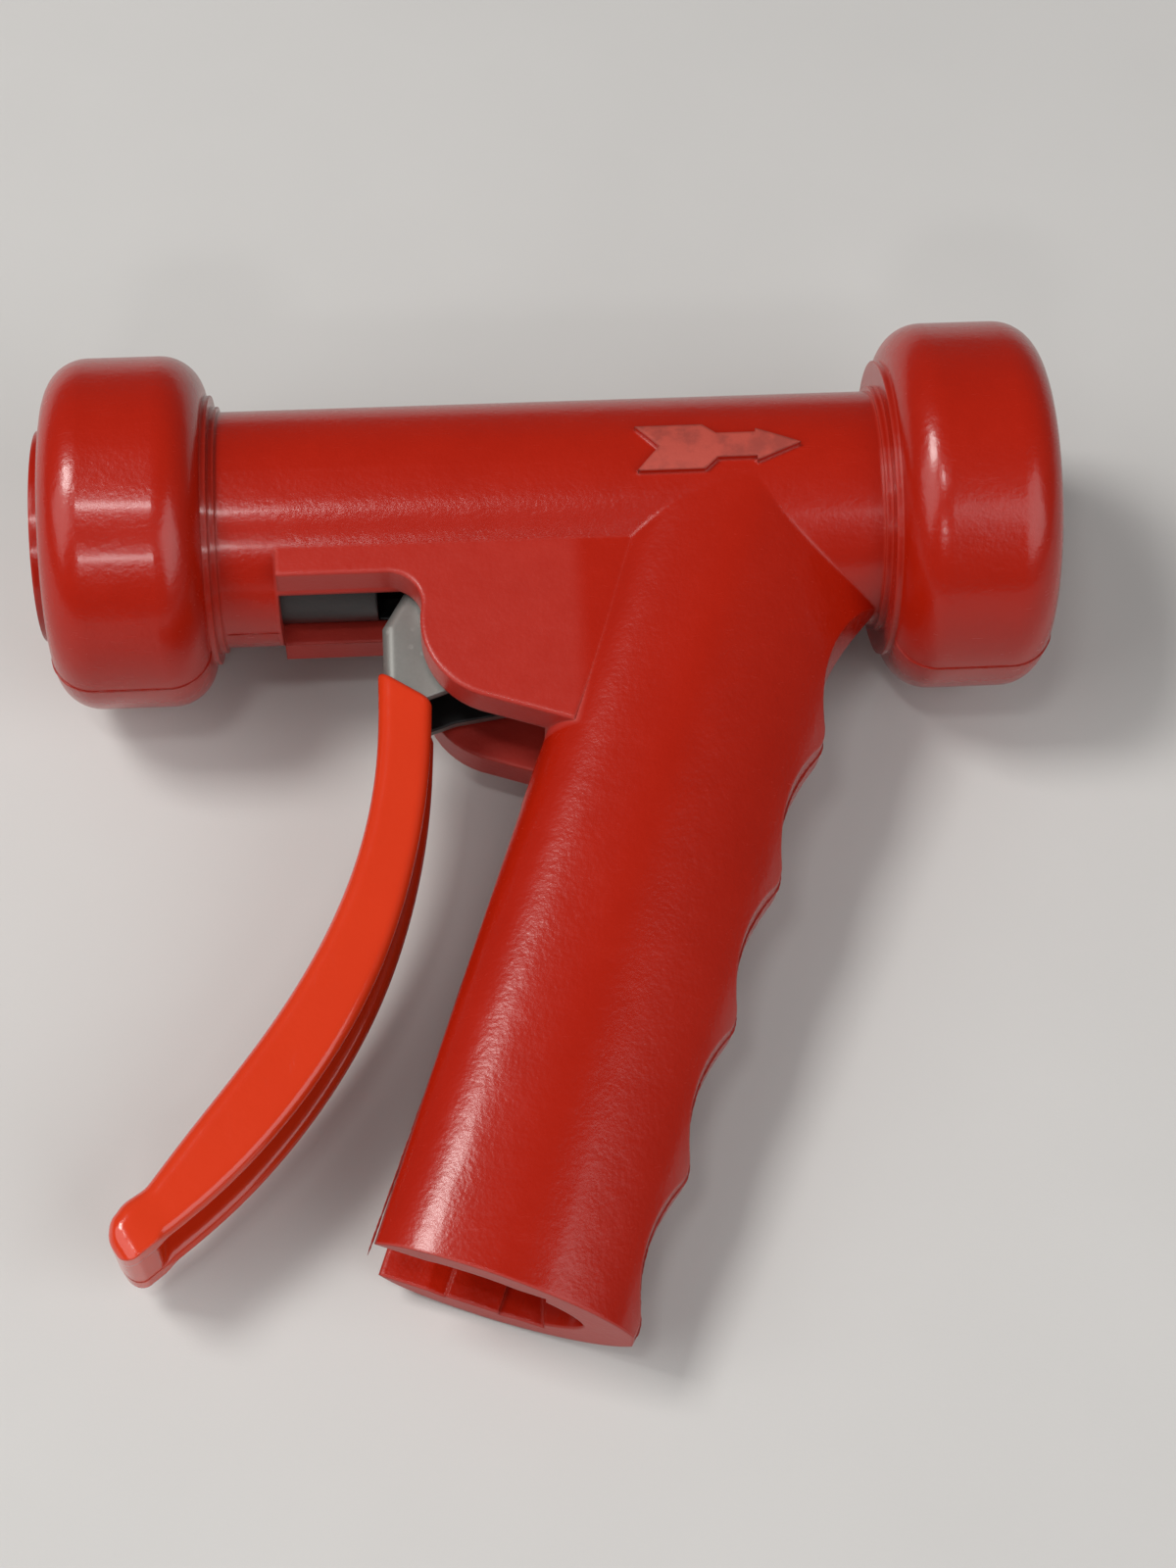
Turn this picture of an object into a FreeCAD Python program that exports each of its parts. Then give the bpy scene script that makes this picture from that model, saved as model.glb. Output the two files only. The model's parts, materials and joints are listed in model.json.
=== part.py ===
"""Rubber-covered trigger nozzle: cast valve body, sliding hollow stem, squeeze lever and moulded cover.

The nozzle is drawn upright in its own plane: X along the flow from inlet to outlet, Y up away from the
grip, Z across. Every finished piece is then turned about the flow axis by the lie angle, so that +Z is up
with the nozzle lying on its side, resting on its front bumper and the side of its grip.
The origin is the centre of the inlet face, where the hose screws in. All sizes are in millimetres.
"""
import FreeCAD, Part
import math
import os

V = FreeCAD.Vector
FLOW = V(1, 0, 0)
ACROSS = V(0, 0, 1)
CENTRE = V(0, 0, 0)
BIG = 400.0               # longer than anything, for cutting blocks

# ---- clearances
cover_fit = 0.10          # rubber cover stretched over the casting, radial
running_fit = 0.05        # sliding and turning fits, radial
thread_fit = 0.05         # between screwed pieces, radial
free_gap = 0.30           # between pieces that only pass or meet each other

# ---- valve body
body_radius = 16.9
body_length = 160.0
inlet_bore_radius = 9.3   # half-inch pipe thread, bore after tapping
inlet_thread_depth = 18.0
rear_bore_radius = 8.8
rear_web_start = 46.0
rear_web_end = 50.0
cavity_radius = 13.6
front_web_start = 98.0
front_web_end = 102.0
gland_bore_radius = 9.2
chamber_start = 112.0
chamber_radius = 13.0
body_slot_start = 53.5
body_slot_end = 92.0

# ---- lever pivot and lugs
pivot_x = 81.0
pivot_drop = 27.0         # below the flow axis
squeeze_angle = 9.5       # degrees of lever travel
lug_gap = 19.0            # between the two lugs
lug_thickness = 3.4
lug_radius = 7.4
lug_spread = 2.0          # how much wider the lug is on each side at its root
lug_root = 4.0            # the lugs run up to here below the flow axis, inside the tube
slot_room = 5.0           # slot past the lugs
pin_radius = 3.0
pin_tail = 1.0            # pin past its clip
pin_groove = 0.6
clip_thickness = 0.8
clip_radius = 5.0
clip_mouth = 3.2

# ---- rubber cover
cover_radius = 20.75
cover_rear = -3.0
cover_length = 174.2
rear_bumper_width = 27.5
rear_bumper_radius = 30.8
front_bumper_width = 27.6
front_bumper_radius = 32.4
bumper_corner = 7.5
collar_radius = 18.5
collar_height = 2.0
rear_step_radius = 23.7   # low steps on the inner faces of the bumpers
front_step_radius = 26.1
step_rise = 1.0
root_radius = 21.7        # rolled ends of the barrel
root_rise = 2.2
inlet_opening_radius = 13.5
outlet_opening_radius = 17.2
cheek_half_width = 16.3
cheek_edge = 0.6          # rounding of the cheeks' rims
cheek_bend = V(56.0, -18.0, 0)
cheek_throat = V(59.8, -20.0, 0)
cheek_neck = V(61.2, -24.5, 0)
cheek_jaw = V(63.8, -36.4, 0)
cheek_chin = V(70.5, -41.6, 0)
cheek_heel = V(86.0, -46.9, 0)
cheek_root = V(104.0, 0, 0)
window_start = 36.7
window_drop = 18.0
room_back_cut = 1.5       # how far the lever's room cuts into the back of the grip
room_reach = 24.0         # where that cut meets the grip

# ---- grip, placed by "along" (square to the grip) and "reach" (down the grip) from the origin
grip_lean = 20.8          # degrees of the grip from square to the barrel
grip_back = 92.5          # back edge, along
grip_depth = 44.3         # back edge to finger ridges
grip_top = -42.0          # reach of the section inside the barrel
grip_end = 106.4          # reach of the open end
grip_top_half_width = 20.4
grip_end_half_width = 15.0
grip_top_front = 2.4      # how far the oval runs past the ridges before it is trimmed
grip_end_front = 0.9
grip_oval_back = 0.9      # how far the oval runs past the back edge before it is trimmed
grip_widest = 0.45        # share of the depth at which the grip is widest
blunt_top = 3.6           # oval exponents: a higher number is a blunter end
blunt_end = 2.7
point_top = 1.4
point_end = 1.75
finger_pitch = 26.6
finger_dip = 2.3
finger_land = 4.0
ridge_count = 5
ridge_rise = 0.35
beak_rise = 2.0           # finger stop under the barrel
beak_reach = 11.5
beak_dip = 2.8
wall_back = 5.2
wall_front = 9.0
wall_side = 4.4
tang_hollow_start = 2.0
tang_end = 62.0
tang_wall = 3.0
pad_along = 110.0         # locating pad inside the open end
pad_width = 9.0
pad_rise = 1.8

# ---- flow arrow
arrow_x = 99.0
arrow_length = 28.4
arrow_height = 9.0
arrow_rise = 1.1
arrow_turn = 4.0          # degrees above the side of the barrel

# ---- stem
stem_radius = 6.0
stem_bore_radius = 4.0
stem_start = 28.0
stem_shoulder = 144.0
stem_bore_end = 142.0
stem_end = 149.0
stud_length = 4.0         # threaded stud past the valve disc
port_radius = 2.4
port_x = 137.5
port_count = 4
prong_nose_radius = 3.0
thrust_washer_thickness = 1.2
thrust_washer_radius = 9.2
thrust_collar_length = 8.0
collar_flat = 8.0
lock_nut_length = 5.0
lock_nut_flats = 17.0
packing_length = 6.0
gland_length = 7.0
gland_socket_flats = 14.4
gland_socket_depth = 3.5
gland_head_flats = 20.0
spring_wire = 1.8
spring_mean_radius = 9.3
spring_turns = 5.5
spring_length = 18.0
spring_cup_thickness = 2.0
spring_cup_radius = 11.0
cup_rim = 2.0
cup_clip_thickness = 1.0
cup_clip_width = 2.0

# ---- valve disc, seat and discharge head
disc_radius = 9.6
disc_bevel = 2.0          # length of the cone behind the disc
disc_recess = 1.0
disc_seal_radius = 8.4
disc_seal_rise = 1.6
seat_bore_radius = 6.8
seat_ring_radius = 11.0
seat_ring_thickness = 3.0
throat_radius = 6.2
throat_end = 160.0
mouth_radius = 9.5
head_start = 146.5
head_flange_radius = 16.4
head_flange_thickness = 3.0
head_length = 19.5
head_nose_radius = 13.0
head_edge = 0.8
seal_wire_radius = 1.2
seal_groove_depth = 2.4
seal_groove_width = 2.8
seal_setback = 2.8
tip_shaft_radius = 3.0
tip_foot_radius = 4.6
tip_foot_length = 2.6
tip_foot_cone = 1.6
tip_flare = 3.0
tip_rim = 1.0
tip_head_radius = 5.0
tip_end = 164.6
tip_slot = 1.4

# ---- lever: the arm is coated, the head is bare
lever_half_width = 8.0    # bare metal
lever_plate = 1.6
lever_gap = 6.4           # half gap between the bare side plates, clear of the stem
coating = 1.0
hub_radius = 7.0
hub_room = 1.5            # space left round the hub
coat_line_back = 32.8     # where the coating starts, below the flow axis, at the back of the arm
coat_line_front = 38.8    # and at its front
tip_bulge = 3.4
lip_radius = 2.6
bush_radius = 5.2
bush_shank_radius = 4.0
open_front = 8.0          # how far the channel's hollow runs past its open side
head_bend = 2.0           # outside radius of the pressed bends
head_overlap = 8.0        # head and arm run into each other by this much
head_throat = V(66.4, -36.3, 0)
head_back_top = V(58.0, -17.6, 0)
head_front_top = V(73.0, -17.6, 0)
prong_root = V(-3.6, -9.4, 0)    # from the centre of the nose
prong_neck = V(-2.2, -4.0, 0)
bush_flange = 1.2

# ---- places worked out from the sizes above
cover_front = cover_rear + cover_length
rear_bumper_end = cover_rear + rear_bumper_width
front_bumper_start = cover_front - front_bumper_width
pivot = V(pivot_x, -pivot_drop, 0)
half_swing = math.radians(squeeze_angle / 2)
nose = pivot + V(math.sin(half_swing), math.cos(half_swing), 0) * pivot_drop
stem_travel = 2 * pivot_drop * math.sin(half_swing)
thrust_face = nose.x - prong_nose_radius - free_gap
front_gland_end = front_web_end + packing_length + gland_length
cup_face = front_gland_end + spring_length
seat_face = stem_end + disc_seal_rise + free_gap
lug_out = lug_gap / 2 + lug_thickness
clip_low = lug_out + 0.15
lean = math.radians(grip_lean)
down_grip = V(-math.sin(lean), -math.cos(lean), 0)
across_grip = V(math.cos(lean), -math.sin(lean), 0)
grip_drop = grip_end * math.cos(lean) + (grip_back + grip_depth) * math.sin(lean)
lie_angle = math.degrees(math.asin((front_bumper_radius - grip_end_half_width) / grip_drop))


# ---------------------------------------------------------------- shapes that repeat
def rod(radius, start, end):
    """Round bar on the flow axis between two stations."""
    return Part.makeCylinder(radius, end - start, V(start, 0, 0), FLOW)


def ring(outer, inner, start, end):
    """Round bar with a through bore, on the flow axis."""
    return rod(outer, start, end).cut(rod(inner, start - 1, end + 1))


def turned(points):
    """Solid of revolution about the flow axis from straight-sided (station, radius) points."""
    corners = [V(x, r, 0) for x, r in points]
    face = Part.Face(Part.makePolygon(corners + [corners[0]]))
    return face.revolve(CENTRE, FLOW, 360)


def hexagon(flats, start, end):
    """Hexagonal bar on the flow axis, given across its flats."""
    radius = flats / 2 / math.cos(math.pi / 6)
    corners = [V(start, radius * math.cos(k * math.pi / 3), radius * math.sin(k * math.pi / 3)) for k in range(7)]
    return Part.Face(Part.makePolygon(corners)).extrude(V(end - start, 0, 0))


def cross_pin(radius, low, high):
    """Round bar on the lever pivot, between two heights over the middle plane."""
    return Part.makeCylinder(radius, high - low, V(pivot.x, pivot.y, low), ACROSS)


def slab(edges, low, high):
    """Plate cut to a closed outline in the middle plane, between two heights."""
    face = Part.Face(Part.Wire(edges))
    face.translate(V(0, 0, low))
    return face.extrude(V(0, 0, high - low))


def polygon(points):
    """Straight edges round a closed list of corners in the middle plane."""
    return [Part.makeLine(a, b) for a, b in zip(points, points[1:] + points[:1])]


def arc(start, middle, end):
    """Round edge through three points."""
    return Part.Arc(start, middle, end).toShape()


def smooth(points):
    """One smooth curve through a list of points."""
    curve = Part.BSplineCurve()
    curve.interpolate(points)
    return curve


def shifted(points, distance):
    """The points of a smooth curve moved square to it, to its left."""
    curve = smooth(points)
    moved = []
    for point in points:
        tangent = curve.tangent(curve.parameter(point))[0]
        moved.append(point + V(-tangent.y, tangent.x, 0) * distance)
    return moved


def upper_block(height):
    """Block that holds everything above a height in the nozzle's own plane."""
    return Part.makeBox(BIG, BIG, BIG, V(-BIG / 2, height, -BIG / 2))


# ---------------------------------------------------------------- grip
def grip_point(along, reach):
    """Point of the middle plane from its distances across and down the grip."""
    return down_grip * reach + across_grip * along


def grip_oval(reach, back_inset, front_inset, side_inset):
    """Closed oval square to the grip: blunt at the back, more pointed at the fingers."""
    share = (reach - grip_top) / (grip_end - grip_top)
    half_width = grip_top_half_width + (grip_end_half_width - grip_top_half_width) * share - side_inset
    blunt_back = blunt_top + (blunt_end - blunt_top) * share
    blunt_front = point_top + (point_end - point_top) * share
    overrun = grip_top_front + (grip_end_front - grip_top_front) * share
    back = grip_back - grip_oval_back + back_inset
    front = grip_back + grip_depth + overrun - front_inset
    widest = back + (front - back) * grip_widest
    count = 28
    points = []
    for k in range(count):
        turn = 2 * math.pi * (k + 0.5) / count
        blunt = blunt_back if math.cos(turn) < 0 else blunt_front
        half_depth = (widest - back) if math.cos(turn) < 0 else (front - widest)
        along = half_depth * math.copysign(abs(math.cos(turn)) ** (2 / blunt), math.cos(turn))
        out = half_width * math.copysign(abs(math.sin(turn)) ** (2 / blunt), math.sin(turn))
        points.append(grip_point(widest + along, reach) + V(0, 0, out))
    curve = Part.BSplineCurve()
    curve.interpolate(points, PeriodicFlag=True)
    return Part.Wire(curve.toShape())


def grip_loft(back_inset=0.0, front_inset=0.0, side_inset=0.0, overrun=0.0):
    """Tapering oval bar down the grip, drawn in all round by the given walls."""
    ends = (grip_top, grip_end + overrun)
    sections = [grip_oval(reach, back_inset, front_inset, side_inset) for reach in ends]
    return Part.makeLoft(sections, True, True)


def below(reach):
    """Block that holds everything further down the grip than a given reach."""
    corners = ((-BIG, reach), (BIG, reach), (BIG, reach + BIG), (-BIG, reach + BIG))
    return slab(polygon([grip_point(along, depth) for along, depth in corners]), -BIG / 2, BIG / 2)


def finger_outline():
    """Side outline of the grip: straight back, open end, scalloped front, finger stop under the barrel."""
    front = grip_back + grip_depth
    last_ridge = grip_end - finger_land / 2
    first_ridge = last_ridge - (ridge_count - 1) * finger_pitch
    top_back = grip_point(grip_back, grip_top)
    end_back = grip_point(grip_back, grip_end)
    start = grip_point(front, grip_end)
    edges = [Part.makeLine(top_back, end_back), Part.makeLine(end_back, start)]
    for k in range(ridge_count):
        ridge = last_ridge - k * finger_pitch
        crest = grip_point(front + ridge_rise, ridge)
        top = grip_point(front, ridge - finger_land / 2)
        edges.append(arc(start, crest, top))
        start = top
        if k < ridge_count - 1:
            dip = grip_point(front - finger_dip, ridge - 0.45 * finger_pitch)
            start = grip_point(front, ridge - finger_pitch + finger_land / 2)
            edges.append(arc(top, dip, start))
    beak = grip_point(front + beak_rise, grip_top + beak_reach)
    hollow = grip_point(front - beak_dip, (first_ridge + grip_top + beak_reach) / 2)
    inner = grip_point(front + beak_rise, grip_top)
    return edges + [arc(start, hollow, beak), Part.makeLine(beak, inner), Part.makeLine(inner, top_back)]


# ---------------------------------------------------------------- valve body
def lug_outline(radius):
    """Outline of one pivot lug: round under the pin, widening up into the body."""
    left = V(pivot_x - radius, -pivot_drop, 0)
    low = V(pivot_x, -pivot_drop - radius, 0)
    right = V(pivot_x + radius, -pivot_drop, 0)
    top_left = V(pivot_x - radius - lug_spread, -lug_root, 0)
    top_right = V(pivot_x + radius + lug_spread, -lug_root, 0)
    return [Part.makeLine(top_left, left), arc(left, low, right), Part.makeLine(right, top_right),
            Part.makeLine(top_right, top_left)]


def tang():
    """Hollow root of the casting inside the grip."""
    walls = (wall_back + cover_fit, wall_front + cover_fit, wall_side + cover_fit)
    outside = grip_loft(*walls).cut(below(tang_end)).cut(upper_block(-body_radius / 2))
    hollow = grip_loft(*[wall + tang_wall for wall in walls], overrun=1.0).common(below(tang_hollow_start))
    return outside.cut(hollow)


def valve_body():
    """Casting: tube with two webs, lever slot, pivot lugs and the hollow tang inside the grip."""
    lugs = slab(lug_outline(lug_radius), -lug_out, lug_out)
    body = rod(body_radius, 0, body_length).fuse([lugs, tang()])
    slot_depth = pivot_drop + lug_radius + slot_room
    slot = Part.makeBox(body_slot_end - body_slot_start, slot_depth, lug_gap,
                        V(body_slot_start, -slot_depth, -lug_gap / 2))
    return body.cut([
        slot,
        rod(inlet_bore_radius, -1, inlet_thread_depth),
        rod(rear_bore_radius, inlet_thread_depth - 1, rear_web_start),
        rod(stem_radius + running_fit, 0, body_length),
        rod(cavity_radius, rear_web_end, front_web_start),
        rod(gland_bore_radius, front_web_end, chamber_start + 1),
        rod(chamber_radius, chamber_start, body_length + 1),
        cross_pin(pin_radius + running_fit, -lug_out - 1, lug_out + 1)]).removeSplitter()


# ---------------------------------------------------------------- rubber cover
def bumper(start, width, radius):
    """Thick rubber ring with rounded shoulders."""
    end = start + width
    corner = bumper_corner
    flat = corner * (1 - math.sqrt(0.5))
    rise = [V(start, radius - corner, 0), V(start + flat, radius - flat, 0), V(start + corner, radius, 0)]
    fall = [V(end - corner, radius, 0), V(end - flat, radius - flat, 0), V(end, radius - corner, 0)]
    low = [V(end, 0, 0), V(start, 0, 0)]
    edges = [arc(*rise), Part.makeLine(rise[2], fall[0]), arc(*fall), Part.makeLine(fall[2], low[0]),
             Part.makeLine(low[0], low[1]), Part.makeLine(low[1], rise[0])]
    return Part.Face(Part.Wire(edges)).revolve(CENTRE, FLOW, 360)


def cheeks():
    """Flat cheeks beside the lever, from the window to the grip, with their rims rounded."""
    window = V(window_start, -window_drop, 0)
    top = V(window_start, 0, 0)
    plate = slab([
        Part.makeLine(window, cheek_bend), arc(cheek_bend, cheek_throat, cheek_neck),
        arc(cheek_neck, cheek_jaw, cheek_chin), Part.makeLine(cheek_chin, cheek_heel),
        Part.makeLine(cheek_heel, cheek_root), Part.makeLine(cheek_root, top), Part.makeLine(top, window)],
        -cheek_half_width, cheek_half_width)
    rims = [edge for edge in plate.Edges
            if edge.BoundBox.ZLength < cheek_edge and edge.CenterOfMass.y < -window_drop + cheek_edge]
    return plate.makeFillet(cheek_edge, rims)


def flow_arrow():
    """Flow arrow standing off the side of the barrel, its top following the barrel."""
    half = arrow_height / 2
    shaft = arrow_height * 0.27
    barb = arrow_height * 0.36
    side = [(0, half), (0.41, half), (0.49, shaft), (0.73, shaft), (0.73, barb)]
    shares = side + [(1, 0)] + [(x, -y) for x, y in reversed(side)] + [(0.14, 0)]
    blank = slab(polygon([V(arrow_x + x * arrow_length, y, 0) for x, y in shares]), 0, cover_radius + 10)
    shell = ring(cover_radius + arrow_rise, body_radius + 2, arrow_x - 5, arrow_x + arrow_length + 5)
    plate = blank.common(shell)
    plate.rotate(CENTRE, FLOW, -arrow_turn)
    return plate


def lever_room():
    """Space between the cheeks for the lever, open downwards, closed by the back of the grip."""
    half = lug_gap / 2
    room = hub_radius + hub_room
    corner = pivot + V(room, 0, 0)
    middle = pivot + V(math.cos(math.radians(20)), -math.sin(math.radians(20)), 0) * room
    end = pivot + V(math.cos(math.radians(40)), -math.sin(math.radians(40)), 0) * room
    low = grip_point(grip_back - room_back_cut, room_reach)
    floor = -BIG / 2
    top = V(corner.x, 0, 0)
    edges = [Part.makeLine(top, corner), arc(corner, middle, end), Part.makeLine(end, low),
             Part.makeLine(low, V(low.x, floor, 0)), Part.makeLine(V(low.x, floor, 0), V(window_start, floor, 0)),
             Part.makeLine(V(window_start, floor, 0), V(window_start, 0, 0)),
             Part.makeLine(V(window_start, 0, 0), top)]
    return slab(edges, -half, half)


def grip_hollow():
    """Space inside the grip, open at its end, less the locating pad on one wall."""
    space = grip_loft(wall_back, wall_front, wall_side, overrun=1.0).cut(upper_block(-body_radius / 2))
    sides = (pad_along - pad_width / 2, pad_along + pad_width / 2)
    corners = [(sides[0], tang_end + 2), (sides[1], tang_end + 2), (sides[1], grip_end + 2), (sides[0], grip_end + 2)]
    pad = slab(polygon([grip_point(along, reach) for along, reach in corners]),
               -grip_top_half_width, -grip_end_half_width + wall_side + pad_rise)
    return space.cut(pad)


def rubber_cover():
    """One moulding: barrel sleeve, two bumpers, inlet collar, cheeks, grip and flow arrow."""
    pocket_out = clip_low + clip_thickness + pin_tail + free_gap
    solid = rod(cover_radius, cover_rear + 1, cover_front - 1).fuse([
        bumper(cover_rear, rear_bumper_width, rear_bumper_radius),
        bumper(front_bumper_start, front_bumper_width, front_bumper_radius),
        rod(rear_step_radius, 0, rear_bumper_end + step_rise),
        rod(front_step_radius, front_bumper_start - step_rise, cover_front - 1),
        rod(root_radius, 0, rear_bumper_end + root_rise),
        rod(root_radius, front_bumper_start - root_rise, cover_front - 1),
        rod(collar_radius, cover_rear - collar_height, 0),
        cheeks(),
        grip_loft().common(slab(finger_outline(), -BIG / 2, BIG / 2)),
        flow_arrow()])
    return solid.cut([
        rod(inlet_opening_radius, cover_rear - collar_height - 1, 1),
        rod(body_radius + cover_fit, 0, body_length),
        rod(outlet_opening_radius, body_length - 1, cover_front + 1),
        slab(lug_outline(lug_radius + cover_fit), -pocket_out, pocket_out),
        grip_hollow(), lever_room()]).removeSplitter()


# ---------------------------------------------------------------- glands and discharge head
def rear_packing():
    """Packing round the stem in front of the inlet chamber."""
    return ring(rear_bore_radius - running_fit, stem_radius + running_fit,
                rear_web_start - packing_length, rear_web_start)


def rear_gland_nut():
    """Screwed nut that presses the rear packing, with a hexagon socket turned from the inlet."""
    end = rear_web_start - packing_length
    nut = ring(rear_bore_radius - thread_fit, stem_radius + free_gap, end - gland_length, end)
    return nut.cut(hexagon(gland_socket_flats, end - gland_length - 1, end - gland_length + gland_socket_depth))


def front_packing():
    """Packing round the stem behind the discharge chamber."""
    return ring(gland_bore_radius - running_fit, stem_radius + running_fit,
                front_web_end, front_web_end + packing_length)


def front_gland_nut():
    """Screwed nut that presses the front packing and carries the spring."""
    start = front_web_end + packing_length
    blank = rod(gland_bore_radius - thread_fit, start, front_gland_end)
    head = hexagon(gland_head_flats, chamber_start + free_gap, front_gland_end)
    return blank.fuse(head).cut(rod(stem_radius + free_gap, start - 1, front_gland_end + 1)).removeSplitter()


def discharge_head():
    """Screwed head: seat pocket, throat, flared mouth, and a flange against the casting."""
    flange_end = body_length + head_flange_thickness
    end = head_start + head_length
    thread = chamber_radius - thread_fit
    outside = turned([
        (head_start, 0), (head_start, thread - head_edge), (head_start + head_edge, thread), (body_length, thread),
        (body_length, head_flange_radius), (flange_end, head_flange_radius), (flange_end, head_nose_radius),
        (end - head_edge, head_nose_radius), (end, head_nose_radius - head_edge), (end, 0)])
    passage = turned([
        (head_start - 1, 0), (head_start - 1, seat_ring_radius), (seat_face + seat_ring_thickness, seat_ring_radius),
        (seat_face + seat_ring_thickness, throat_radius), (throat_end, throat_radius), (end, mouth_radius),
        (end + 1, mouth_radius), (end + 1, 0)])
    middle = body_length - seal_setback
    groove = ring(chamber_radius + 1, chamber_radius - seal_groove_depth,
                  middle - seal_groove_width / 2, middle + seal_groove_width / 2)
    return outside.cut([passage, groove]).removeSplitter()


def head_seal():
    """Round-section sealing ring in the groove of the discharge head."""
    wire = seal_wire_radius - running_fit
    return Part.makeTorus(chamber_radius - running_fit - wire, wire, V(body_length - seal_setback, 0, 0), FLOW)


def seat_ring():
    """Flat sealing ring that the valve disc closes on."""
    return ring(seat_ring_radius - running_fit, seat_bore_radius, seat_face, seat_face + seat_ring_thickness)


# ---------------------------------------------------------------- pivot
def groove_span(side, margin):
    """Lower and upper height of a clip groove on one side, drawn in by a margin."""
    return sorted((side * (clip_low + margin), side * (clip_low + clip_thickness - margin)))


def pivot_pin():
    """Lever pin through both lugs, grooved for a retaining clip at each end."""
    half = clip_low + clip_thickness + pin_tail
    pin = cross_pin(pin_radius, -half, half)
    for side in (-1, 1):
        low, high = groove_span(side, 0.0)
        pin = pin.cut(cross_pin(pin_radius + 1, low, high).cut(cross_pin(pin_radius - pin_groove, low, high)))
    return pin


def pivot_clips():
    """Two open retaining clips in the grooves of the pin."""
    mouth = Part.makeBox(clip_radius * 2, clip_mouth, BIG, V(pivot.x, pivot.y - clip_mouth / 2, -BIG / 2))
    clips = []
    for side in (-1, 1):
        low, high = groove_span(side, running_fit)
        plate = cross_pin(clip_radius, low, high)
        clips.append(plate.cut([cross_pin(pin_radius - pin_groove + running_fit, low - 1, high + 1), mouth]))
    return Part.makeCompound(clips)


# ---------------------------------------------------------------- stem
def stem_tube():
    """Hollow stem: open at the inlet, with side ports, a shoulder and a threaded stud for the disc."""
    bar = rod(stem_radius, stem_start, stem_shoulder)
    stud = rod(tip_shaft_radius, stem_shoulder - 1, stem_end + stud_length)
    bore = rod(stem_bore_radius, stem_start - 1, stem_bore_end)
    ports = []
    for k in range(port_count):
        port = Part.makeCylinder(port_radius, stem_radius * 2, V(port_x, 0, 0), V(0, 1, 0))
        port.rotate(CENTRE, FLOW, 360 / port_count * (k + 0.5))
        ports.append(port)
    return bar.fuse(stud).cut([bore] + ports).removeSplitter()


def thrust_washer():
    """Bronze washer that the prongs of the lever push on."""
    return ring(thrust_washer_radius, stem_radius + running_fit, thrust_face - thrust_washer_thickness, thrust_face)


def thrust_collar():
    """Collar screwed on the stem behind the washer, with two flats for a spanner."""
    end = thrust_face - thrust_washer_thickness
    start = end - thrust_collar_length
    collar = ring(thrust_washer_radius, stem_radius + thread_fit, start, end)
    flat = Part.makeBox(thrust_collar_length - 2, BIG, BIG, V(start, collar_flat, -BIG / 2))
    other = flat.copy()
    other.rotate(CENTRE, FLOW, 180)
    return collar.cut([flat, other])


def collar_lock_nut():
    """Thin nut that locks the collar on the stem."""
    end = thrust_face - thrust_washer_thickness - thrust_collar_length
    start = end - lock_nut_length
    return hexagon(lock_nut_flats, start, end).cut(rod(stem_radius + thread_fit, start - 1, end + 1))


def spring_cup():
    """Cup washer that the spring pushes on, with a rim inside the spring."""
    plate = ring(spring_cup_radius, stem_radius + running_fit, cup_face, cup_face + spring_cup_thickness)
    rim = ring(spring_mean_radius - spring_wire / 2 - free_gap, stem_radius + running_fit, cup_face - cup_rim, cup_face)
    return plate.fuse(rim).removeSplitter()


def cup_clip():
    """Open ring on the stem in front of the cup."""
    start = cup_face + spring_cup_thickness
    clip = ring(stem_radius + cup_clip_width, stem_radius + thread_fit, start, start + cup_clip_thickness)
    return clip.cut(Part.makeBox(cup_clip_thickness + 2, clip_mouth, BIG, V(start - 1, -clip_mouth / 2, 0)))


def disc_holder():
    """Brass valve disc screwed on the stud of the stem, recessed for its seal."""
    disc = turned([(stem_shoulder, 0), (stem_shoulder, stem_radius), (stem_shoulder + disc_bevel, disc_radius),
                   (stem_end, disc_radius), (stem_end, 0)])
    return disc.cut([rod(disc_seal_radius + running_fit, stem_end - disc_recess, stem_end + 1),
                     rod(tip_shaft_radius + thread_fit, stem_shoulder - 1, stem_end + 1)])


def disc_seal():
    """Rubber face of the valve disc."""
    return ring(disc_seal_radius, tip_shaft_radius + running_fit, stem_end - disc_recess, stem_end + disc_seal_rise)


def spray_tip():
    """Pattern plug screwed on the stud: foot against the seal, slim shaft, flared head in the mouth."""
    foot = stem_end + disc_seal_rise
    plug = turned([(foot, 0), (foot, tip_foot_radius), (foot + tip_foot_length, tip_foot_radius),
                   (foot + tip_foot_length + tip_foot_cone, tip_shaft_radius),
                   (tip_end - tip_rim - tip_flare, tip_shaft_radius),
                   (tip_end - tip_rim, tip_head_radius), (tip_end, tip_head_radius), (tip_end, 0)])
    hole = rod(tip_shaft_radius + thread_fit, foot - 1, stem_end + stud_length + free_gap)
    slot = Part.makeBox(tip_slot, tip_slot, BIG, V(tip_end - tip_slot, -tip_slot / 2, -BIG / 2))
    return plug.cut([hole, slot])


def return_spring():
    """Coil spring between the front gland nut and the spring cup."""
    wire = spring_wire / 2
    height = spring_length - 2 * wire - 2 * running_fit
    helix = Part.makeHelix(height / spring_turns, height, spring_mean_radius)
    helix.rotate(CENTRE, V(0, 1, 0), 90)
    helix.translate(V(front_gland_end + wire + running_fit, 0, 0))
    start = helix.Edges[0]
    section = Part.makeCircle(wire, start.valueAt(start.FirstParameter), start.tangentAt(start.FirstParameter))
    return Part.Wire(helix.Edges).makePipeShell([Part.Wire(section)], True, True)


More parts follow.
